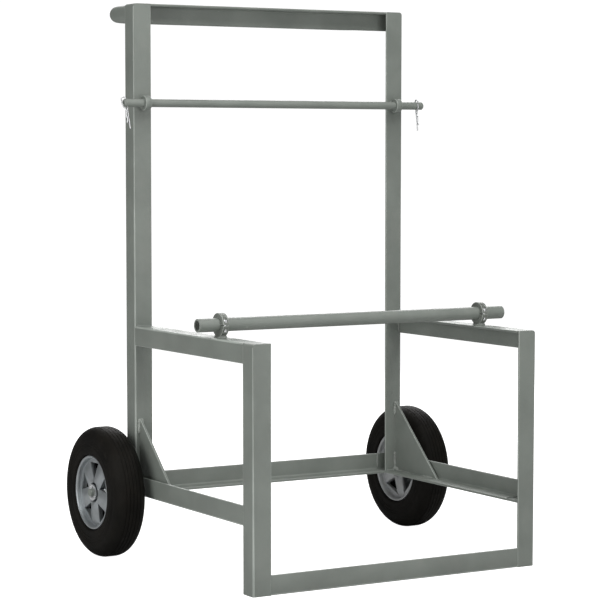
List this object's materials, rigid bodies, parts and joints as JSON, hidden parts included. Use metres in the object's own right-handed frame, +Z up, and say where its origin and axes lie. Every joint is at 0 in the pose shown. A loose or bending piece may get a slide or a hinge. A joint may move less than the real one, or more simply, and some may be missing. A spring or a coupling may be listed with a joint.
{
  "type": "reel dolly",
  "caption": "Two-wheeled welded angle-iron reel dolly: open front frame, tall back with U handle, two cross rods in shaft collars, hairpins, solid rubber tyres on pressed steel rims.",
  "frame": {"origin": "on the floor, midway between the sides and midway between the posts' front face and the back of the tyres", "axes": "+Z up, +X to the right across the frame, -Y out of the open front, +Y to the handle"},
  "size_m": [0.7894, 0.654, 1.1],
  "materials": {
    "frame_paint": "satin grey-green enamel",
    "tyre_rubber": "matt black rubber",
    "wheel_zinc": "bright zinc plate on pressed steel",
    "bright_zinc": "bright zinc plate",
    "axle_steel": "drawn steel bar",
    "bush_plastic": "moulded nylon"
  },
  "bodies": {
    "frame": {"upright_left": "frame_paint", "upright_right": "frame_paint", "top_rail": "frame_paint", "handle_bar": "frame_paint", "upper_side_rail_left": "frame_paint", "upper_side_rail_right": "frame_paint", "lower_side_rail_left": "frame_paint", "lower_side_rail_right": "frame_paint", "rear_crossbar": "frame_paint", "front_post_left": "frame_paint", "front_post_right": "frame_paint", "front_crossbar": "frame_paint", "gusset_left": "frame_paint", "gusset_right": "frame_paint", "axle": "frame_paint", "upper_collar_left": "frame_paint", "upper_collar_right": "frame_paint", "lower_collar_base_left": "frame_paint", "lower_collar_base_right": "frame_paint", "lower_collar_cap_left": "frame_paint", "lower_collar_cap_right": "frame_paint", "collar_screws_left": "bright_zinc", "collar_screws_right": "bright_zinc", "thrust_collar_left": "axle_steel", "thrust_collar_right": "axle_steel", "axle_washer_left": "bright_zinc", "axle_washer_right": "bright_zinc", "cotter_pin_left": "bright_zinc", "cotter_pin_right": "bright_zinc"},
    "upper_rod": {"upper_rod": "frame_paint"},
    "hairpin_left": {"hairpin_left": "bright_zinc"},
    "hairpin_right": {"hairpin_right": "bright_zinc"},
    "lower_rod": {"lower_rod": "frame_paint"},
    "wheel_left": {"tyre_left": "tyre_rubber", "rim_outer_left": "wheel_zinc", "rim_inner_left": "wheel_zinc", "hub_tube_left": "wheel_zinc", "hub_bushes_left": "bush_plastic"},
    "wheel_right": {"tyre_right": "tyre_rubber", "rim_outer_right": "wheel_zinc", "rim_inner_right": "wheel_zinc", "hub_tube_right": "wheel_zinc", "hub_bushes_right": "bush_plastic"}
  },
  "joints": [
    {"name": "wheel_left_spin", "type": "hinge", "parent": "frame", "child": "wheel_left", "pos_m": [-0.36, 0.197, 0.13], "axis": [1, 0, 0], "continuous": true},
    {"name": "wheel_right_spin", "type": "hinge", "parent": "frame", "child": "wheel_right", "pos_m": [0.36, 0.197, 0.13], "axis": [1, 0, 0], "continuous": true},
    {"name": "upper_rod_spin", "type": "hinge", "parent": "frame", "child": "upper_rod", "pos_m": [0, 0.135, 0.904], "axis": [1, 0, 0], "continuous": true},
    {"name": "lower_rod_slide", "type": "slide", "parent": "frame", "child": "lower_rod", "axis": [1, 0, 0], "range_m": [0, 0.655]},
    {"name": "hairpin_left_pull", "type": "slide", "parent": "upper_rod", "child": "hairpin_left", "axis": [0, 0.309, 0.9511], "range_m": [0, 0.07], "deforming": ["hairpin_left"]},
    {"name": "hairpin_right_pull", "type": "slide", "parent": "upper_rod", "child": "hairpin_right", "axis": [0, 0.1564, 0.9877], "range_m": [0, 0.07], "deforming": ["hairpin_right"]}
  ]
}
